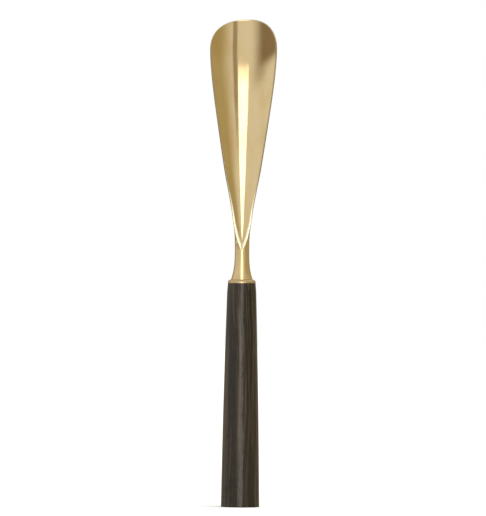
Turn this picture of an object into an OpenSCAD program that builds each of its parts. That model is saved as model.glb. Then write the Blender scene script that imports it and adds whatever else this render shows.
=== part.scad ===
// Long shoehorn: a polished brass blade on a tapered dark hardwood handle.
// Millimetres. The origin is the centre of the handle's flat butt, +Z runs up the handle's axis to the blade,
// and the open side of the blade faces -Y.

/* [Handle] */
// Length of the wooden handle, from the butt to the collar
handle_length = 147; // [120:1:200]
// Diameter of the butt
butt_d = 25.2; // [22:0.1:30]
// Diameter of the handle just under the shoulder at the collar
handle_top_d = 18.8; // [18.6:0.1:22]
// How far the side stands out from a straight taper at mid length
handle_swell = 0.35; // [0:0.05:1]

/* [Collar] */
// Diameter of the brass collar
collar_d = 18.3; // [17:0.1:19]
// Height of the collar
collar_h = 2.3; // [2:0.1:4]
// Radius of the rounded upper edge of the collar
collar_round = 1.9; // [0.5:0.1:1.9]

/* [Neck and blade] */
// Diameter of the flared foot that stands on the collar
foot_d = 14.4; // [12:0.1:14.6]
// Diameter of the neck at its narrowest
neck_d = 9.5; // [8.8:0.1:9.8]
// How quickly the foot's flare narrows: 2 is a parabola, more is tighter at the foot
flare_power = 3; // [2:0.5:4]
// Width of the blade at its widest
blade_w = 44.2; // [38:0.2:50]
// Height of the rounded crown, from the widest line to the tip
crown_h = 21.3; // [16:0.1:26]
// Sideways lean of the hand-ground crown
crown_lean = 3.8; // [0:0.1:4]

/* [Hardware] */
// Length of the threaded stud that joins the neck to the handle
stud_length = 47; // [40:1:60]
// Length of the threaded insert in the handle
insert_length = 25; // [15:1:30]

/* [Hidden] */
$fn = 96;

shoulder_h = 7;          // height over which the handle rounds in to the collar
shoulder_in = 0.3;       // how far it rounds in
butt_edge = 0.4;         // chamfer round the butt
profile_steps = 24;      // straight pieces in the handle's side

foot_z = handle_length + collar_h;
notch_h = 20;            // height above the foot at which the flare ends and the trough begins
flare_steps = 20;        // straight pieces in the flare's side
widest_h = 149.5;        // height above the foot of the widest line

m6_major = 3;            // radii of the M6 thread
m6_minor = 2.45;
m6_pitch = 1;
wood_major = 5;          // radii of the insert's coarse outer thread
wood_minor = 4.3;
wood_pitch = 2.5;
thread_gap = 0.05;       // radial clearance in both threads
tapped_depth = 15;       // depth of the tapped hole in the neck
stud_in_neck = 14;       // how far the stud goes into it
stud_chamfer = 0.5;
insert_below = 1;        // the insert's top lies this far below the handle's end
hex_socket_d = 7.4;      // across the corners of the insert's driving socket
hex_socket_h = 3;
through_r = 3.3;         // clearance hole for the stud
drill_point_h = 2;       // cone that the drill leaves at the end of the handle's hole
run_out = 4;             // the handle's hole is drilled this much deeper than the stud reaches

// The head's cross-sections, from the neck to the tip. The trough is a band bent round the back:
// [height above the foot, half width, back line in Y, angle of the rim from the back, wall, metal behind the trough]
half_w = blade_w / 2;
neck_r = neck_d / 2;
STATIONS = [
    [notch_h, neck_r, neck_r, 172, 0.3, 9.3],
    [22, neck_r + 0.02, neck_r, 162, 1.1, 8.95],
    [24, neck_r + 0.05, neck_r, 150, 1.8, 8.4],
    [26, neck_r + 0.08, neck_r + 0.02, 138.5, 1.8, 7.6],
    [29, neck_r + 0.22, neck_r + 0.05, 124.5, 1.7, 6.55],
    [32, neck_r + 0.45, neck_r + 0.1, 112.5, 1.7, 5.7],
    [38, neck_r + 1.3, neck_r + 0.2, 95, 1.5, 4.7],
    [44, half_w * 0.315, neck_r + 0.35, 80, 1.35, 3.8],
    [50, half_w * 0.364, neck_r + 0.5, 66, 1.3, 3.05],
    [58, half_w * 0.433, neck_r + 0.7, 54, 1.3, 2.25],
    [70, half_w * 0.538, neck_r + 0.95, 47, 1.25, 1.65],
    [85, half_w * 0.646, neck_r + 1.15, 44.5, 1.2, 1.3],
    [100, half_w * 0.748, neck_r + 1.25, 44, 1.15, 1.15],
    [120, half_w * 0.877, neck_r + 1.1, 43.5, 1.05, 1.05],
    [135, half_w * 0.957, neck_r + 0.55, 43, 1, 1],
    [widest_h, half_w, neck_r - 0.4, 42.5, 0.95, 0.95],
    [widest_h + crown_h, half_w * 1.01, neck_r - 2.9, 42, 0.85, 0.85]
];
HALF_WIDTH = 1;
BACK = 2;
RIM_ANGLE = 3;
WALL = 4;
WEB = 5;

land_turn = 94;          // where the trough closes, its rim faces front instead of along the wall
crown_power = 2.4;       // 2 would make the crown's outline an ellipse
crown_steps = 14;
crown_end = 88;          // degrees of the crown's sweep at which its top is cut flat
arc_steps = 16;          // facets across the trough, on each face
union_inset = 0.02;      // the blade starts this far inside the neck, so the two fuse cleanly

// Index of the station interval that holds height h
function interval(h, i = 1) = i >= len(STATIONS) - 1 || h <= STATIONS[i][0] ? i - 1 : interval(h, i + 1);

// Slope of a station column from row a to row b
function rise(a, b, column) =
    (STATIONS[b][column] - STATIONS[a][column]) / (STATIONS[b][0] - STATIONS[a][0]);

function tangent(i, column) = rise(max(i - 1, 0), min(i + 1, len(STATIONS) - 1), column);

// A station column at height h, on a smooth cubic through the rows
function at(h, column) =
    let (i = interval(h), span = STATIONS[i + 1][0] - STATIONS[i][0], u = (h - STATIONS[i][0]) / span)
    (2 * pow(u, 3) - 3 * pow(u, 2) + 1) * STATIONS[i][column]
    + (pow(u, 3) - 2 * pow(u, 2) + u) * span * tangent(i, column)
    + (3 * pow(u, 2) - 2 * pow(u, 3)) * STATIONS[i + 1][column]
    + (pow(u, 3) - pow(u, 2)) * span * tangent(i + 1, column);

// One closed cross-section at height h, whose half width is cut to the share trim by the crown
function section(h, trim = 1, inset = 0) =
    let (
        master = at(h, RIM_ANGLE),
        outer_r = at(h, HALF_WIDTH) / sin(min(master, 90)) - inset,
        centre = at(h, BACK) - inset - outer_r,
        wall = at(h, WALL),
        inner_edge = function(a) let (land = max(-land_turn, min(land_turn, a)))
            [outer_r * sin(a) - wall * sin(land), centre + outer_r * cos(a) - wall * cos(land)],
        reach = outer_r * sin(master),
        lean = crown_lean * (1 - trim),
        rim = trim < 1
            ? [asin((lean - reach * trim) / outer_r), asin((lean + reach * trim) / outer_r)]
            : [-master, master],
        floor_y = at(h, BACK) - at(h, WEB),
        chord = inner_edge(master).x,
        rim_y = inner_edge(master).y,
        trough_r = (pow(chord, 2) + pow(floor_y - rim_y, 2)) / (2 * (floor_y - rim_y)),
        trough_centre = floor_y - trough_r,
        inner = [for (a = rim) atan2(inner_edge(a).x, inner_edge(a).y - trough_centre)],
        turn = function(ends, i) ends[0] + (ends[1] - ends[0]) * i / arc_steps
    )
    concat(
        [for (i = [0:arc_steps]) let (a = turn(rim, i))
            [outer_r * sin(a), centre + outer_r * cos(a), h]],
        [for (i = [arc_steps:-1:0]) let (a = turn(inner, i))
            [trough_r * sin(a), trough_centre + trough_r * cos(a), h]]
    );

// A closed solid through rings of equal point counts, from the lowest ring to the highest
module loft(rings) {
    n = len(rings[0]);
    last = len(rings) - 1;
    polyhedron(
        points = [for (ring = rings) each ring],
        faces = concat(
            [[for (j = [n - 1:-1:0]) j]],
            [for (i = [0:last - 1], j = [0:n - 1]) let (k = (j + 1) % n)
                each [[i * n + j, i * n + k, (i + 1) * n + k], [i * n + j, (i + 1) * n + k, (i + 1) * n + j]]],
            [[for (j = [0:n - 1]) last * n + j]]
        )
    );
}

// The half profile of a threaded rod, its crests shaped as rings, from height low to height high
function thread_profile(major, minor, pitch, low, high) = concat(
    [[0, low]],
    [for (k = [0:floor((high - low) / pitch + 0.001) - 1]) let (z = low + k * pitch)
        each [[minor, z], [major, z + pitch / 2]]],
    [[minor, low + floor((high - low) / pitch + 0.001) * pitch], [minor, high], [0, high]]
);

module thread(major, minor, pitch, low, high)
    rotate_extrude() polygon(thread_profile(major, minor, pitch, low, high));

stud_top = foot_z + stud_in_neck;
stud_bottom = stud_top - stud_length;
insert_top = handle_length - insert_below;
insert_bottom = insert_top - insert_length;

// The M6 thread as a cutting tool, in step with the stud's own rings
module tapped_hole(low, high)
    thread(m6_major + thread_gap, m6_minor + thread_gap, m6_pitch, low, high);

// Side of the handle at height z
function handle_r(z) =
    let (u = z / handle_length, top = max(0, (z - handle_length + shoulder_h) / shoulder_h))
    butt_d / 2 + (handle_top_d - butt_d) / 2 * u + handle_swell * 4 * u * (1 - u) - shoulder_in * pow(top, 2);

module handle() color([0.16, 0.13, 0.11]) difference() {
    rotate_extrude() polygon(concat(
        [[0, 0], [handle_r(0) - butt_edge, 0]],
        [for (i = [0:profile_steps])
            let (z = butt_edge + (handle_length - butt_edge) * i / profile_steps) [handle_r(z), z]],
        [[0, handle_length]]
    ));
    thread(wood_major + thread_gap, wood_minor + thread_gap, wood_pitch, insert_bottom, handle_length + wood_pitch);
    translate([0, 0, stud_bottom - run_out]) cylinder(r = through_r, h = stud_length);
    translate([0, 0, stud_bottom - run_out - drill_point_h])
        cylinder(r1 = 0, r2 = through_r, h = drill_point_h);
}

module threaded_insert() color([0.75, 0.6, 0.3]) difference() {
    thread(wood_major, wood_minor, wood_pitch, insert_bottom, insert_top);
    tapped_hole(stud_bottom - m6_pitch, stud_top);
    translate([0, 0, insert_top - hex_socket_h])
        cylinder(d = hex_socket_d, h = 2 * hex_socket_h, $fn = 6);
}

module stud() color([0.7, 0.72, 0.75]) intersection() {
    thread(m6_major, m6_minor, m6_pitch, stud_bottom, stud_top);
    rotate_extrude() polygon([
        [0, stud_bottom], [m6_major - stud_chamfer, stud_bottom], [m6_major, stud_bottom + stud_chamfer],
        [m6_major, stud_top - stud_chamfer], [m6_major - stud_chamfer, stud_top], [0, stud_top]
    ]);
}

module collar() color([0.86, 0.7, 0.38]) translate([0, 0, handle_length]) difference() {
    rotate_extrude() union() {
        square([collar_d / 2 - collar_round, collar_h]);
        square([collar_d / 2, collar_h - collar_round]);
        translate([collar_d / 2 - collar_round, collar_h - collar_round]) intersection() {
            circle(r = collar_round);
            square(collar_round);
        }
    }
    translate([0, 0, -collar_h]) cylinder(r = through_r, h = 3 * collar_h);
}

// The turned neck, flaring to the foot
module neck() rotate_extrude() polygon(concat(
    [[0, 0]],
    [for (i = [0:flare_steps]) let (h = notch_h * i / flare_steps)
        [neck_r + (foot_d / 2 - neck_r) * pow(1 - h / notch_h, flare_power), h]],
    [[0, notch_h]]
));

// The trough-shaped blade, from the V at the neck to the rounded crown
module blade() {
    v_heights = [for (h = [notch_h + 1:1:40]) h];
    body_heights = [for (h = [44:4:136]) h];
    upper_heights = [139, 142, 145, 147.5, widest_h];
    crown = [for (i = [1:crown_steps]) let (sweep = crown_end * i / crown_steps)
        [widest_h + crown_h * pow(sin(sweep), 2 / crown_power), pow(cos(sweep), 2 / crown_power)]];
    loft(concat(
        [section(notch_h, inset = union_inset)],
        [for (h = concat(v_heights, body_heights, upper_heights)) section(h)],
        [for (step = crown) section(step[0], step[1])]
    ));
}

module shoehorn_head() color([0.86, 0.7, 0.38]) difference() {
    translate([0, 0, foot_z]) union() {
        neck();
        blade();
    }
    tapped_hole(stud_bottom, foot_z + tapped_depth);
}

shoehorn_head();
collar();
stud();
threaded_insert();
handle();
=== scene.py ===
"""A long shoehorn: polished brass head, brass collar and dark wooden handle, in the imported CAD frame."""
import math

import bpy
from mathutils import Matrix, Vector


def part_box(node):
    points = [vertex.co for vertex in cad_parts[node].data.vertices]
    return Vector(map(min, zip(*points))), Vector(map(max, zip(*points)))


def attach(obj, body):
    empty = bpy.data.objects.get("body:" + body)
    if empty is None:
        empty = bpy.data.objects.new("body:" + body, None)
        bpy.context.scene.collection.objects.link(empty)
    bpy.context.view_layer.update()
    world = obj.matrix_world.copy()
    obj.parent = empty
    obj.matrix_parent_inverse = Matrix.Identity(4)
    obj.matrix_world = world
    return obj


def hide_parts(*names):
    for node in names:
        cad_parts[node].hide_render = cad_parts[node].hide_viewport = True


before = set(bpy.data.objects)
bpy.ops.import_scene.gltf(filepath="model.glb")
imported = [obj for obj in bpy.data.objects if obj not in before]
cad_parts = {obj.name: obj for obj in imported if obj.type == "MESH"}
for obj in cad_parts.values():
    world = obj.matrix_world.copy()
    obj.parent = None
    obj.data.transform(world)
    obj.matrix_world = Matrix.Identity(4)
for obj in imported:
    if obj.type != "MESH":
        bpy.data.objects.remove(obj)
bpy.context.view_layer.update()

MM = 0.001

# ---------------------------------------------------------------- the head's shape

FOOT_LOW, HEAD_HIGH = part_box("shoehorn_head")
FOOT_Z = FOOT_LOW.z                      # the foot stands on the collar here
BLADE_HALF = 22.1                        # half the blade's widest width, mm
NECK_R = 4.75                            # the neck at its narrowest, mm
FOOT_R = 7.2
NOTCH_H = 20.0                           # height above the foot where the flare ends and the trough begins
FLARE_POWER = 3                          # 2 would make the flare a parabola
WIDEST_H = 149.5
CROWN_H = (HEAD_HIGH.z - FOOT_Z) / MM - WIDEST_H
CROWN_POWER = 2.4                        # 2 would make the crown's outline an ellipse
CROWN_LEAN = 3.8                         # the hand-ground crown leans this far to +X
BORE_R, BORE_DEPTH = 3.05, 15.0          # the tapped hole, seen only if the head is taken off

# Cross-sections of the trough: height above the foot, half width, back line in Y, angle of the rim from
# the back, wall, metal behind the trough. All in millimetres and degrees, as in the CAD part.
STATIONS = [
    (NOTCH_H, NECK_R, NECK_R, 172, 0.3, 9.3),
    (22, NECK_R + 0.02, NECK_R, 162, 1.1, 8.95),
    (24, NECK_R + 0.05, NECK_R, 150, 1.8, 8.4),
    (26, NECK_R + 0.08, NECK_R + 0.02, 138.5, 1.8, 7.6),
    (29, NECK_R + 0.22, NECK_R + 0.05, 124.5, 1.7, 6.55),
    (32, NECK_R + 0.45, NECK_R + 0.1, 112.5, 1.7, 5.7),
    (38, NECK_R + 1.3, NECK_R + 0.2, 95, 1.5, 4.7),
    (44, BLADE_HALF * 0.315, NECK_R + 0.35, 80, 1.35, 3.8),
    (50, BLADE_HALF * 0.364, NECK_R + 0.5, 66, 1.3, 3.05),
    (58, BLADE_HALF * 0.433, NECK_R + 0.7, 54, 1.3, 2.25),
    (70, BLADE_HALF * 0.538, NECK_R + 0.95, 47, 1.25, 1.65),
    (85, BLADE_HALF * 0.646, NECK_R + 1.15, 44.5, 1.2, 1.3),
    (100, BLADE_HALF * 0.748, NECK_R + 1.25, 44, 1.15, 1.15),
    (120, BLADE_HALF * 0.877, NECK_R + 1.1, 43.5, 1.05, 1.05),
    (135, BLADE_HALF * 0.957, NECK_R + 0.55, 43, 1, 1),
    (WIDEST_H, BLADE_HALF, NECK_R - 0.4, 42.5, 0.95, 0.95),
    (WIDEST_H + CROWN_H, BLADE_HALF * 1.01, NECK_R - 2.9, 42, 0.85, 0.85),
]
HALF_WIDTH, BACK, RIM_ANGLE, WALL, WEB = range(1, 6)
LAND_TURN = math.radians(94)             # where the trough closes, its rim turns no further than this

COLUMNS = 72                             # facets across the trough
NOTCH_ROWS, BLADE_ROWS, CROWN_ROWS = 54, 120, 40
NOTCH_TOP = 40                           # the rows are closest together from the notch up to here
RIM_STEPS = 4                            # facets on each half of the rounded rim
RIM_ROUND = 0.40                         # how far the rounding reaches in, as a share of a thin wall
THIN_WALL = 1.3                          # thicker walls are rounded less, so that they keep flat lands
RIM_FADE = 0.35                          # how much of the rim's wear and painted rim light shows where the rounding ends
NECK_BLEND, NECK_ROWS = 1.6, 6           # the round neck turns into the trough's section over this height
FLARE_ROWS = 40
FOOT_ROUND = 0.25                        # the rounding of the foot's lower edge
FOOT_CHAMFER = (0.06, 0.07)              # a point of that rounding: how far in, and how high
SHARP_EDGE = math.radians(40)


def station(h, column):
    """A column of STATIONS at height h, on a smooth cubic through the rows."""
    i = 0
    while i < len(STATIONS) - 2 and h > STATIONS[i + 1][0]:
        i += 1

    def tangent(k):
        low, high = max(k - 1, 0), min(k + 1, len(STATIONS) - 1)
        return (STATIONS[high][column] - STATIONS[low][column]) / (STATIONS[high][0] - STATIONS[low][0])

    span = STATIONS[i + 1][0] - STATIONS[i][0]
    u = (h - STATIONS[i][0]) / span
    return ((2 * u**3 - 3 * u**2 + 1) * STATIONS[i][column] + (u**3 - 2 * u**2 + u) * span * tangent(i)
            + (3 * u**2 - 2 * u**3) * STATIONS[i + 1][column] + (u**3 - u**2) * span * tangent(i + 1))


class Section:
    """The arcs of the trough's outer and inner faces at height h."""

    def __init__(self, h):
        self.h = h
        self.rim = math.radians(station(h, RIM_ANGLE))
        self.wall = station(h, WALL)
        back = station(h, BACK)
        self.outer_r = station(h, HALF_WIDTH) / math.sin(min(self.rim, math.pi / 2))
        self.centre = back - self.outer_r
        land = min(self.rim, LAND_TURN)
        chord = self.outer_r * math.sin(self.rim) - self.wall * math.sin(land)
        rim_y = self.centre + self.outer_r * math.cos(self.rim) - self.wall * math.cos(land)
        floor_y = back - station(h, WEB)
        self.inner_r = (chord**2 + (floor_y - rim_y) ** 2) / (2 * (floor_y - rim_y))
        self.inner_centre = floor_y - self.inner_r
        self.inner_rim = math.atan2(chord, rim_y - self.inner_centre)

    def outer(self, angle):
        return (self.outer_r * math.sin(angle), self.centre + self.outer_r * math.cos(angle), self.h)

    def inner(self, angle):
        return (self.inner_r * math.sin(angle), self.inner_centre + self.inner_r * math.cos(angle), self.h)


def body_point(h, s, inset):
    """Outer and inner point of the trough at height h and share s of its width, inset from the rim."""
    sec = Section(h)
    back_off = min(inset, 0.4 * sec.inner_r * sec.inner_rim)
    return (sec.outer(s * (sec.rim - inset / sec.outer_r)),
            sec.inner(s * (sec.inner_rim - back_off / sec.inner_r)))


def crown_point(s, t, inset):
    """The same in the crown: t runs from its widest line to its outline at the top."""
    p = CROWN_POWER
    across = s * (1 - t**p / 2) ** (1 / p)
    up = t * (1 - abs(s) ** p / 2) ** (1 / p)
    sec = Section(WIDEST_H + (CROWN_H - inset) * up)
    reach = sec.outer_r * math.sin(sec.rim) - inset
    trim = (1 - min(up, 1) ** p) ** (1 / p)
    angle = math.asin((CROWN_LEAN * (1 - trim) + reach * across) / sec.outer_r)
    return sec.outer(angle), sec.inner(angle)


def lerp(a, b, u):
    return tuple(x + (y - x) * u for x, y in zip(a, b))


def curve(a, control, b, steps):
    """The inner points of a quadratic curve from a to b, b included."""
    points = []
    for k in range(1, steps + 1):
        u = k / steps
        points.append(lerp(lerp(a, control, u), lerp(control, b, u), u))
    return points


def rim_points(start, outer_edge, inner_edge, end):
    """The rounded rim, from the outer face's last point to the inner face's, without either."""
    middle = lerp(outer_edge, inner_edge, 0.5)
    first = curve(start, outer_edge, middle, RIM_STEPS)
    second = curve(middle, inner_edge, end, RIM_STEPS)
    return first + second[:-1]


def neck_radius(h):
    return NECK_R + (FOOT_R - NECK_R) * (1 - h / NOTCH_H) ** FLARE_POWER


def steps_between(low, high, count):
    return [low + (high - low) * k / count for k in range(count + 1)]


def build_head():
    """The whole casting as one closed mesh, with a vertex attribute that marks its rims."""
    share = [2 * k / COLUMNS - 1 for k in range(COLUMNS + 1)]
    rows = []                            # each row: a function of (s, inset) giving outer and inner point
    heights = steps_between(NOTCH_H, NOTCH_TOP, NOTCH_ROWS) + steps_between(NOTCH_TOP, WIDEST_H, BLADE_ROWS)[1:]
    for h in heights:
        rows.append(lambda s, inset, h=h: body_point(h, s, inset))
    for t in steps_between(0, 1, CROWN_ROWS)[1:]:
        rows.append(lambda s, inset, t=t: crown_point(s, t, inset))

    verts, rim_mark = [], []

    def add(point, mark=0.0):
        verts.append([c * MM for c in point[:2]] + [FOOT_Z + point[2] * MM])
        rim_mark.append(mark)
        return len(verts) - 1

    def inset_at(row):
        wall = Section(row(0, 0)[0][2]).wall
        return RIM_ROUND * wall * min(1, THIN_WALL / wall) ** 3

    outer, inner = [], []
    for row in rows:
        inset = inset_at(row)
        pairs = [row(s, inset) for s in share]
        marks = [RIM_FADE if k in (0, COLUMNS) else 0 for k in range(COLUMNS + 1)]
        outer.append([add(pair[0], mark) for pair, mark in zip(pairs, marks)])
        inner.append([add(pair[1], mark) for pair, mark in zip(pairs, marks)])

    last = len(rows) - 1
    border = ([(i, 0) for i in range(last + 1)] + [(last, j) for j in range(1, COLUMNS)]
              + [(i, COLUMNS) for i in range(last, -1, -1)])
    strips = []
    for i, j in border:
        edge_out, edge_in = rows[i](share[j], 0)
        start, end = [(verts[v][0] / MM, verts[v][1] / MM, (verts[v][2] - FOOT_Z) / MM)
                      for v in (outer[i][j], inner[i][j])]
        points = rim_points(start, edge_out, edge_in, end)
        strips.append([outer[i][j]] + [add(p, 1.0) for p in points] + [inner[i][j]])

    faces = []
    for i in range(last):
        for j in range(COLUMNS):
            faces.append((outer[i][j], outer[i][j + 1], outer[i + 1][j + 1], outer[i + 1][j]))
            faces.append((inner[i][j + 1], inner[i][j], inner[i + 1][j], inner[i + 1][j + 1]))
    for a, b in zip(strips, strips[1:]):
        for k in range(len(a) - 1):
            faces.append((a[k], b[k], b[k + 1], a[k + 1]))

    # the ring at the foot of the trough, carried down the round neck to the foot and into its bore
    ring = outer[0] + strips[-1][1:-1] + inner[0][::-1] + strips[0][1:-1][::-1]
    angles = [math.atan2(verts[v][0], verts[v][1]) for v in ring]

    def circle(radius, h):
        return [add((radius * math.sin(a), radius * math.cos(a), h)) for a in angles]

    def join(upper, lower):
        for k in range(len(ring)):
            n = (k + 1) % len(ring)
            faces.append((upper[k], lower[k], lower[n], upper[n]))

    blend_low = NOTCH_H - NECK_BLEND
    above = ring
    for h in steps_between(NOTCH_H, blend_low, NECK_ROWS)[1:]:
        u = (h - blend_low) / (NOTCH_H - blend_low)
        below = []
        for v, a in zip(ring, angles):
            level = (NECK_R * math.sin(a), NECK_R * math.cos(a), h)
            cut = (verts[v][0] / MM, verts[v][1] / MM, h)
            below.append(add(lerp(level, cut, u * u * (3 - 2 * u))))
        join(above, below)
        above = below
    rest = [(neck_radius(h), h) for h in steps_between(blend_low, FOOT_ROUND, FLARE_ROWS)[1:]]
    rest += [(neck_radius(0) - FOOT_CHAMFER[0], FOOT_CHAMFER[1]), (neck_radius(0) - FOOT_ROUND, 0.0),
             (BORE_R, 0.0), (BORE_R, BORE_DEPTH)]
    for radius, h in rest:
        below = circle(radius, h)
        join(above, below)
        above = below
    faces.append(tuple(above))

    return new_mesh("shoehorn_head_polished", verts, faces, {"rim": rim_mark})


# ---------------------------------------------------------------- meshes in general

def new_mesh(name, verts, faces, marks=None):
    mesh = bpy.data.meshes.new(name)
    mesh.from_pydata(verts, [], faces)
    mesh.validate()
    for key, values in (marks or {}).items():
        layer = mesh.attributes.new(key, "FLOAT", "POINT")
        layer.data.foreach_set("value", values)
    obj = bpy.data.objects.new(name, mesh)
    bpy.context.scene.collection.objects.link(obj)
    mesh.shade_smooth()
    mesh.set_sharp_from_angle(angle=SHARP_EDGE)
    return obj


# ---------------------------------------------------------------- materials

class Nodes:
    """Short calls for building a node tree."""

    def __init__(self, tree):
        self.tree = tree
        tree.nodes.clear()

    def node(self, kind, inputs=None, **settings):
        n = self.tree.nodes.new(kind)
        for key, value in settings.items():
            setattr(n, key, value)
        for key, value in (inputs or {}).items():
            self.set(n, key, value)
        return n

    def set(self, n, key, value):
        if isinstance(value, bpy.types.NodeSocket):
            self.tree.links.new(value, n.inputs[key])
        else:
            n.inputs[key].default_value = value

    def math(self, operation, a, b=0.0, clamp=False):
        n = self.node("ShaderNodeMath", {0: a, 1: b}, operation=operation, use_clamp=clamp)
        return n.outputs[0]

    def smooth(self, value, start, end, low=0.0, high=1.0):
        """From low to high as value goes from start to end, easing in and out."""
        n = self.node("ShaderNodeMapRange", {"Value": value, "From Min": start, "From Max": end,
                                             "To Min": low, "To Max": high},
                      interpolation_type="SMOOTHSTEP")
        return n.outputs["Result"]

    def mix(self, factor, a, b, blend="MIX"):
        n = self.node("ShaderNodeMix", {0: factor, 6: a, 7: b}, data_type="RGBA", blend_type=blend)
        return n.outputs[2]

    def scaled(self, vector, scale):
        n = self.node("ShaderNodeMapping", {"Vector": vector, "Scale": scale})
        return n.outputs["Vector"]

    def noise(self, vector, scale, detail=3.0, roughness=0.5, distortion=0.0):
        n = self.node("ShaderNodeTexNoise", {"Vector": vector, "Scale": scale, "Detail": detail,
                                             "Roughness": roughness, "Distortion": distortion})
        return n.outputs["Fac"]

    def bump(self, height, distance, strength=1.0, normal=None):
        inputs = {"Height": height, "Distance": distance, "Strength": strength}
        if normal is not None:
            inputs["Normal"] = normal
        return self.node("ShaderNodeBump", inputs).outputs["Normal"]


def new_material(name):
    material = bpy.data.materials.new(name)
    material.use_nodes = True
    nodes = Nodes(material.node_tree)
    place = nodes.node("ShaderNodeTexCoord").outputs["Object"]
    output = nodes.node("ShaderNodeOutputMaterial")
    shader = nodes.node("ShaderNodeBsdfPrincipled")
    nodes.tree.links.new(shader.outputs["BSDF"], output.inputs["Surface"])
    return material, nodes, shader, place


def brass(name, colour, tarnish, roughness, rim=True):
    """Polished brass: faint tarnish clouds, hand smudges, rubbing lines along the length, rims with wear and
    painted light.
    """
    material, nodes, shader, place = new_material(name)
    clouds = nodes.noise(nodes.scaled(place, (1, 1, 0.4)), 60, 4, 0.55)
    smudge = nodes.smooth(nodes.noise(nodes.scaled(place, (1, 1, 0.55)), 95, 5, 0.62, 0.6), 0.5, 0.72)
    lines = nodes.noise(nodes.scaled(place, (1, 1, 0.025)), 2600, 2, 0.6)
    ripple = nodes.noise(nodes.scaled(place, (1, 1, 0.12)), 210, 2, 0.5)

    tone = nodes.mix(nodes.smooth(clouds, 0.35, 0.75), colour, tarnish)
    tone = nodes.mix(nodes.math("MULTIPLY", smudge, 0.35), tone, tarnish)
    rough = nodes.math("ADD", roughness, nodes.math("MULTIPLY", smudge, 0.07))
    rough = nodes.math("ADD", rough, nodes.math("MULTIPLY", lines, 0.05))
    if rim:
        parts = nodes.node("ShaderNodeSeparateXYZ", {"Vector": place})
        rim_wear_and_painted_light = nodes.node("ShaderNodeAttribute", attribute_name="rim").outputs["Fac"]
        # painted light on the rims: a pale cream painted highlight up to about 40 mm above the foot, and a dark
        # brass painted shade above about 75 mm that dulls their reflection
        broad = nodes.smooth(parts.outputs["Z"], FOOT_Z + 0.075, FOOT_Z + 0.040)
        edge = nodes.mix(broad, (0.50, 0.39, 0.22, 1), (0.97, 0.87, 0.62, 1))
        tone = nodes.mix(nodes.math("MULTIPLY", rim_wear_and_painted_light, 0.9), tone, edge)
        rough = nodes.math("ADD", rough, nodes.math("MULTIPLY", rim_wear_and_painted_light, 0.30))
        neck = nodes.smooth(parts.outputs["Z"], FOOT_Z + 0.026, FOOT_Z + 0.012)
        rough = nodes.math("ADD", rough, nodes.math("MULTIPLY", neck, 0.15))
    nodes.set(shader, "Base Color", tone)
    nodes.set(shader, "Metallic", 1.0)
    nodes.set(shader, "Roughness", rough)
    waves = nodes.bump(ripple, 0.00012, 0.35)
    nodes.set(shader, "Normal", nodes.bump(lines, 0.000006, 0.3, waves))
    return material


def dark_wood(name):
    """Dark, close-grained hardwood under a satin varnish. The grain runs along Z."""
    material, nodes, shader, place = new_material(name)
    wander = nodes.noise(nodes.scaled(place, (1, 1, 0.35)), 38, 2, 0.5)
    parts = nodes.node("ShaderNodeSeparateXYZ", {"Vector": place})
    along_x = nodes.math("ADD", parts.outputs["X"], nodes.math("MULTIPLY", wander, 0.006))
    along_y = nodes.math("ADD", parts.outputs["Y"], nodes.math("MULTIPLY", wander, 0.004))
    board = nodes.node("ShaderNodeCombineXYZ", {"X": along_x, "Y": along_y, "Z": parts.outputs["Z"]})
    layers = nodes.noise(nodes.scaled(board.outputs["Vector"], (1, 0.45, 0.012)), 640, 4, 0.62)
    fibres = nodes.noise(nodes.scaled(place, (1, 1, 0.03)), 3800, 3, 0.65)
    pores = nodes.smooth(nodes.noise(nodes.scaled(place, (1, 1, 0.05)), 2600, 2, 0.5), 0.62, 0.72)
    patches = nodes.noise(nodes.scaled(place, (1, 1, 0.25)), 55, 3, 0.5)

    dark, brown, grey = (0.0028, 0.0023, 0.0018, 1), (0.040, 0.027, 0.0155, 1), (0.012, 0.0115, 0.0088, 1)
    tone = nodes.mix(nodes.smooth(layers, 0.46, 0.62), dark, brown)
    tone = nodes.mix(nodes.smooth(patches, 0.45, 0.7, 0, 0.5), tone, grey)
    tone = nodes.mix(nodes.smooth(fibres, 0.45, 0.75, 0, 0.35), tone, brown)
    tone = nodes.mix(nodes.math("MULTIPLY", pores, 0.7), tone, (0.004, 0.003, 0.0025, 1))
    nodes.set(shader, "Base Color", tone)
    rough = nodes.math("ADD", 0.10, nodes.math("MULTIPLY", layers, 0.14))
    rough = nodes.math("ADD", rough, nodes.math("MULTIPLY", pores, 0.2))
    nodes.set(shader, "Roughness", rough)
    nodes.set(shader, "IOR", 1.56)
    nodes.set(shader, "Specular Tint", (1.0, 0.89, 0.75, 1))
    uneven = nodes.bump(nodes.noise(nodes.scaled(place, (1, 1, 0.3)), 160, 3, 0.55), 0.0007, 0.6)
    ribs = nodes.bump(layers, 0.00012, 0.7, uneven)
    nodes.set(shader, "Normal", nodes.bump(nodes.math("SUBTRACT", fibres, pores), 0.00003, 0.5, ribs))
    return material


def plated_steel(name):
    material, nodes, shader, place = new_material(name)
    stain = nodes.noise(place, 400, 4, 0.6)
    nodes.set(shader, "Base Color", nodes.mix(stain, (0.55, 0.56, 0.58, 1), (0.42, 0.42, 0.43, 1)))
    nodes.set(shader, "Metallic", 1.0)
    nodes.set(shader, "Roughness", nodes.math("ADD", 0.25, nodes.math("MULTIPLY", stain, 0.2)))
    nodes.set(shader, "Normal", nodes.bump(stain, 0.00001, 0.4))
    return material


# ---------------------------------------------------------------- the object

def dress(node, material):
    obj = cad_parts[node]
    for slot in obj.material_slots:
        slot.material = material


head = build_head()
head.data.materials.append(brass("head_brass", (0.88, 0.69, 0.38, 1), (0.80, 0.58, 0.28, 1), 0.055))
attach(head, "root")
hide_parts("shoehorn_head")

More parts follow.
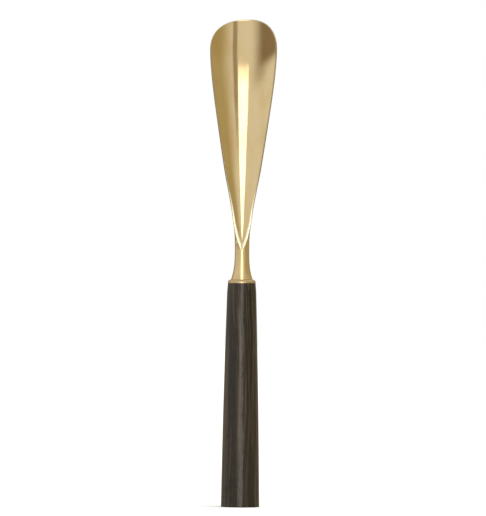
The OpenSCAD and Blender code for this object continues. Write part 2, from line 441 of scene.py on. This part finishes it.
dress("collar", brass("collar_brass", (0.78, 0.61, 0.33, 1), (0.64, 0.47, 0.24, 1), 0.30, rim=False))
dress("threaded_insert", brass("insert_brass", (0.80, 0.64, 0.36, 1), (0.66, 0.50, 0.26, 1), 0.25, rim=False))
dress("stud", plated_steel("stud_steel"))
dress("handle", dark_wood("handle_wood"))


# ---------------------------------------------------------------- the stage, the light and the camera

def add_floor():
    half = 9.0
    verts = [(-half, -half, 0), (half, -half, 0), (half, half, 0), (-half, half, 0)]
    floor = new_mesh("floor", verts, [(0, 1, 2, 3)])
    floor.location.z = -0.00005
    material, nodes, shader, place = new_material("floor_paper")
    shade = nodes.mix(nodes.noise(place, 3), (0.90, 0.90, 0.90, 1), (0.86, 0.86, 0.86, 1))
    nodes.set(shader, "Base Color", shade)
    nodes.set(shader, "Roughness", 0.9)
    floor.data.materials.append(material)
    floor.visible_glossy = False


def add_studio():
    """Plain soft light: a tall soft box in front, a pale left side, a warm right side and a darker floor."""
    world = bpy.data.worlds.new("studio")
    bpy.context.scene.world = world
    world.use_nodes = True
    nodes = Nodes(world.node_tree)
    way = nodes.node("ShaderNodeTexCoord").outputs["Generated"]
    parts = nodes.node("ShaderNodeSeparateXYZ", {"Vector": way})
    ahead = nodes.math("MULTIPLY", parts.outputs["Y"], -1.0)
    # in degrees: turn is 0 in front and grows to the right, and rise is 0 at the horizon
    turn = nodes.math("DEGREES", nodes.math("ARCTAN2", parts.outputs["X"], ahead))
    rise = nodes.math("DEGREES", nodes.math("ARCSINE", parts.outputs["Z"]))

    def both(a, b):
        return nodes.math("MULTIPLY", a, b)

    def between(value, low, high, soft):
        start = nodes.smooth(value, low - soft, low + soft)
        return both(start, nodes.smooth(value, high - soft, high + soft, 1, 0))

    pale, warm, shade = (0.75, 0.75, 0.75, 1), (0.45, 0.40, 0.25, 1), (0.25, 0.20, 0.15, 1)
    dusk, ceiling, soft_box = (0.40, 0.35, 0.25, 1), (0.65, 0.65, 0.65, 1), (2.4, 2.4, 2.4, 1)

    room = nodes.mix(nodes.smooth(turn, 20, 60), pale, warm)
    low_left = both(nodes.smooth(turn, -15, -50), nodes.smooth(rise, 0, -4))
    room = nodes.mix(low_left, room, shade)
    dark_card = both(between(turn, 15, 25, 2), nodes.smooth(rise, 5, 0))
    room = nodes.mix(nodes.math("MULTIPLY", dark_card, 0.75), room, shade)
    room = nodes.mix(nodes.smooth(nodes.math("ABSOLUTE", turn), 100, 140), room, dusk)
    room = nodes.mix(nodes.smooth(rise, 15, 45), room, ceiling)
    room = nodes.mix(nodes.smooth(rise, -20, -40), room, dusk)
    panel = both(between(turn, -13, 13, 1), both(nodes.smooth(rise, -5, -3), nodes.smooth(rise, 45, 35)))
    room = nodes.mix(panel, room, soft_box)

    seen = nodes.node("ShaderNodeLightPath").outputs["Is Camera Ray"]
    mirrored = nodes.node("ShaderNodeBackground", {"Color": room, "Strength": 1.0})
    plain = nodes.node("ShaderNodeBackground", {"Color": (1, 1, 1, 1), "Strength": 1.0})
    mixed = nodes.node("ShaderNodeMixShader", {0: seen, 1: mirrored.outputs[0], 2: plain.outputs[0]})
    output = nodes.node("ShaderNodeOutputWorld")
    nodes.tree.links.new(mixed.outputs[0], output.inputs["Surface"])


def add_overhead():
    """A broad overhead light that whitens the floor."""
    lamp = bpy.data.lights.new("overhead", "SUN")
    lamp.energy = 2.8
    lamp.angle = math.radians(70)
    obj = bpy.data.objects.new("overhead", lamp)
    obj.rotation_euler = (math.radians(18), math.radians(20), 0)
    obj.visible_glossy = False
    bpy.context.scene.collection.objects.link(obj)


def add_camera():
    """A long lens at half height, level, rolled by the half degree that the object leans in the picture."""
    distance, seen_height = 5.0, 0.3389    # the picture's height covers this much at the object
    level, aside = 0.1635, 0.00068
    camera = bpy.data.cameras.new("camera")
    camera.sensor_width = 36
    camera.lens = camera.sensor_width * distance / seen_height
    camera.clip_end = 50
    obj = bpy.data.objects.new("camera", camera)
    roll = Matrix.Rotation(math.radians(-0.446), 4, "Y")
    aim = Matrix.Rotation(math.radians(90), 4, "X")
    obj.matrix_world = Matrix.Translation((aside, -distance, level)) @ roll @ aim
    bpy.context.scene.collection.objects.link(obj)
    bpy.context.scene.camera = obj


add_floor()
add_studio()
add_overhead()
add_camera()
bpy.context.scene.view_settings.view_transform = "Standard"
